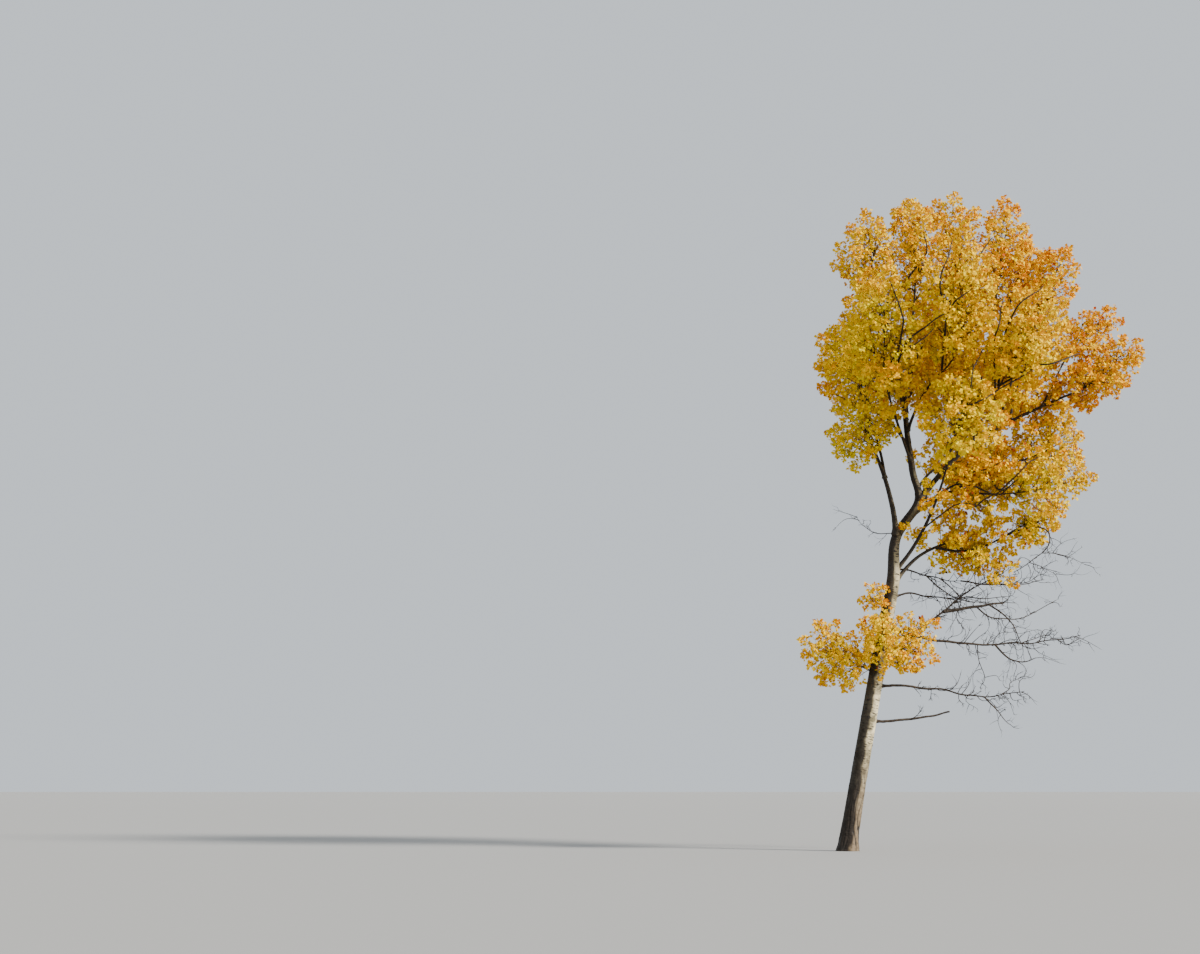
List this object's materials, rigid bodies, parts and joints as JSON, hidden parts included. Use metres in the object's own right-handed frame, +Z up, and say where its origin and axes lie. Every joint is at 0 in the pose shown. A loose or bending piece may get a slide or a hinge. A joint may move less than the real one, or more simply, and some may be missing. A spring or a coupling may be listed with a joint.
{
  "type": "poplar tree",
  "caption": "Leaning poplar of the aspen kind in golden autumn leaf, with a pale trunk that forks, spreading boughs, separate leaf masses and bare dead boughs low on one side.",
  "frame": {"origin": "middle of the flat cut under the trunk, at ground level", "axes": "+Z up, +X towards the side that the trunk leans to, -Y towards the camera of the picture"},
  "size_m": [9.1813, 7.5137, 17.2874],
  "materials": {
    "bark": "pale grey-green bark with dark scars, furrowed and darker at the foot",
    "bough_bark": "smooth olive-grey bark",
    "dead_wood": "weathered bare wood",
    "leaves_gold": "matt golden-yellow leaves",
    "leaves_orange": "matt orange leaves",
    "leaves_rust": "matt rust-orange leaves",
    "leaves_lemon": "matt lemon-yellow leaves",
    "leaves_amber": "matt amber leaves",
    "leaves_olive": "matt olive-yellow leaves"
  },
  "bodies": {
    "root": {"trunk": "bark", "left_stem": "bough_bark", "left_bough": "bough_bark", "top_left_bough": "bough_bark", "front_left_bough": "bough_bark", "back_left_bough": "bough_bark", "front_middle_bough": "bough_bark", "back_middle_bough": "bough_bark", "top_bough": "bough_bark", "upper_right_bough": "bough_bark", "arm_bough": "bough_bark", "low_arm_bough": "bough_bark", "middle_right_bough": "bough_bark", "spire_bough": "bough_bark", "high_right_bough": "bough_bark", "top_right_bough": "bough_bark", "inner_bough": "bough_bark", "front_right_bough": "bough_bark", "back_right_bough": "bough_bark", "outer_right_bough": "bough_bark", "lower_right_bough": "bough_bark", "back_low_bough": "bough_bark", "front_low_bough": "bough_bark", "low_bough": "bough_bark", "sweeping_bough": "bough_bark", "dead_bough_top": "dead_wood", "dead_bough_upper": "dead_wood", "dead_bough_tufted": "dead_wood", "dead_bough_long": "dead_wood", "dead_bough_lower": "dead_wood", "dead_bough_stub": "dead_wood", "leader_foliage": "leaves_orange", "top_left_foliage": "leaves_orange", "left_foliage": "leaves_lemon", "low_left_foliage": "leaves_olive", "front_left_foliage": "leaves_lemon", "back_left_foliage": "leaves_lemon", "front_middle_foliage": "leaves_gold", "back_middle_foliage": "leaves_gold", "top_foliage": "leaves_orange", "middle_arm_foliage": "leaves_rust", "upper_arm_foliage": "leaves_orange", "lower_arm_foliage": "leaves_rust", "middle_right_foliage": "leaves_gold", "spire_foliage": "leaves_orange", "high_right_foliage": "leaves_orange", "top_right_foliage": "leaves_orange", "inner_foliage": "leaves_gold", "front_right_foliage": "leaves_gold", "back_right_foliage": "leaves_gold", "right_foliage": "leaves_gold", "lower_right_foliage": "leaves_gold", "back_low_foliage": "leaves_amber", "front_low_foliage": "leaves_amber", "low_foliage": "leaves_amber", "sweeping_foliage": "leaves_amber", "left_trunk_foliage": "leaves_amber", "right_trunk_foliage": "leaves_amber", "front_trunk_foliage": "leaves_amber", "trunk_tuft": "leaves_amber"}
  },
  "joints": []
}
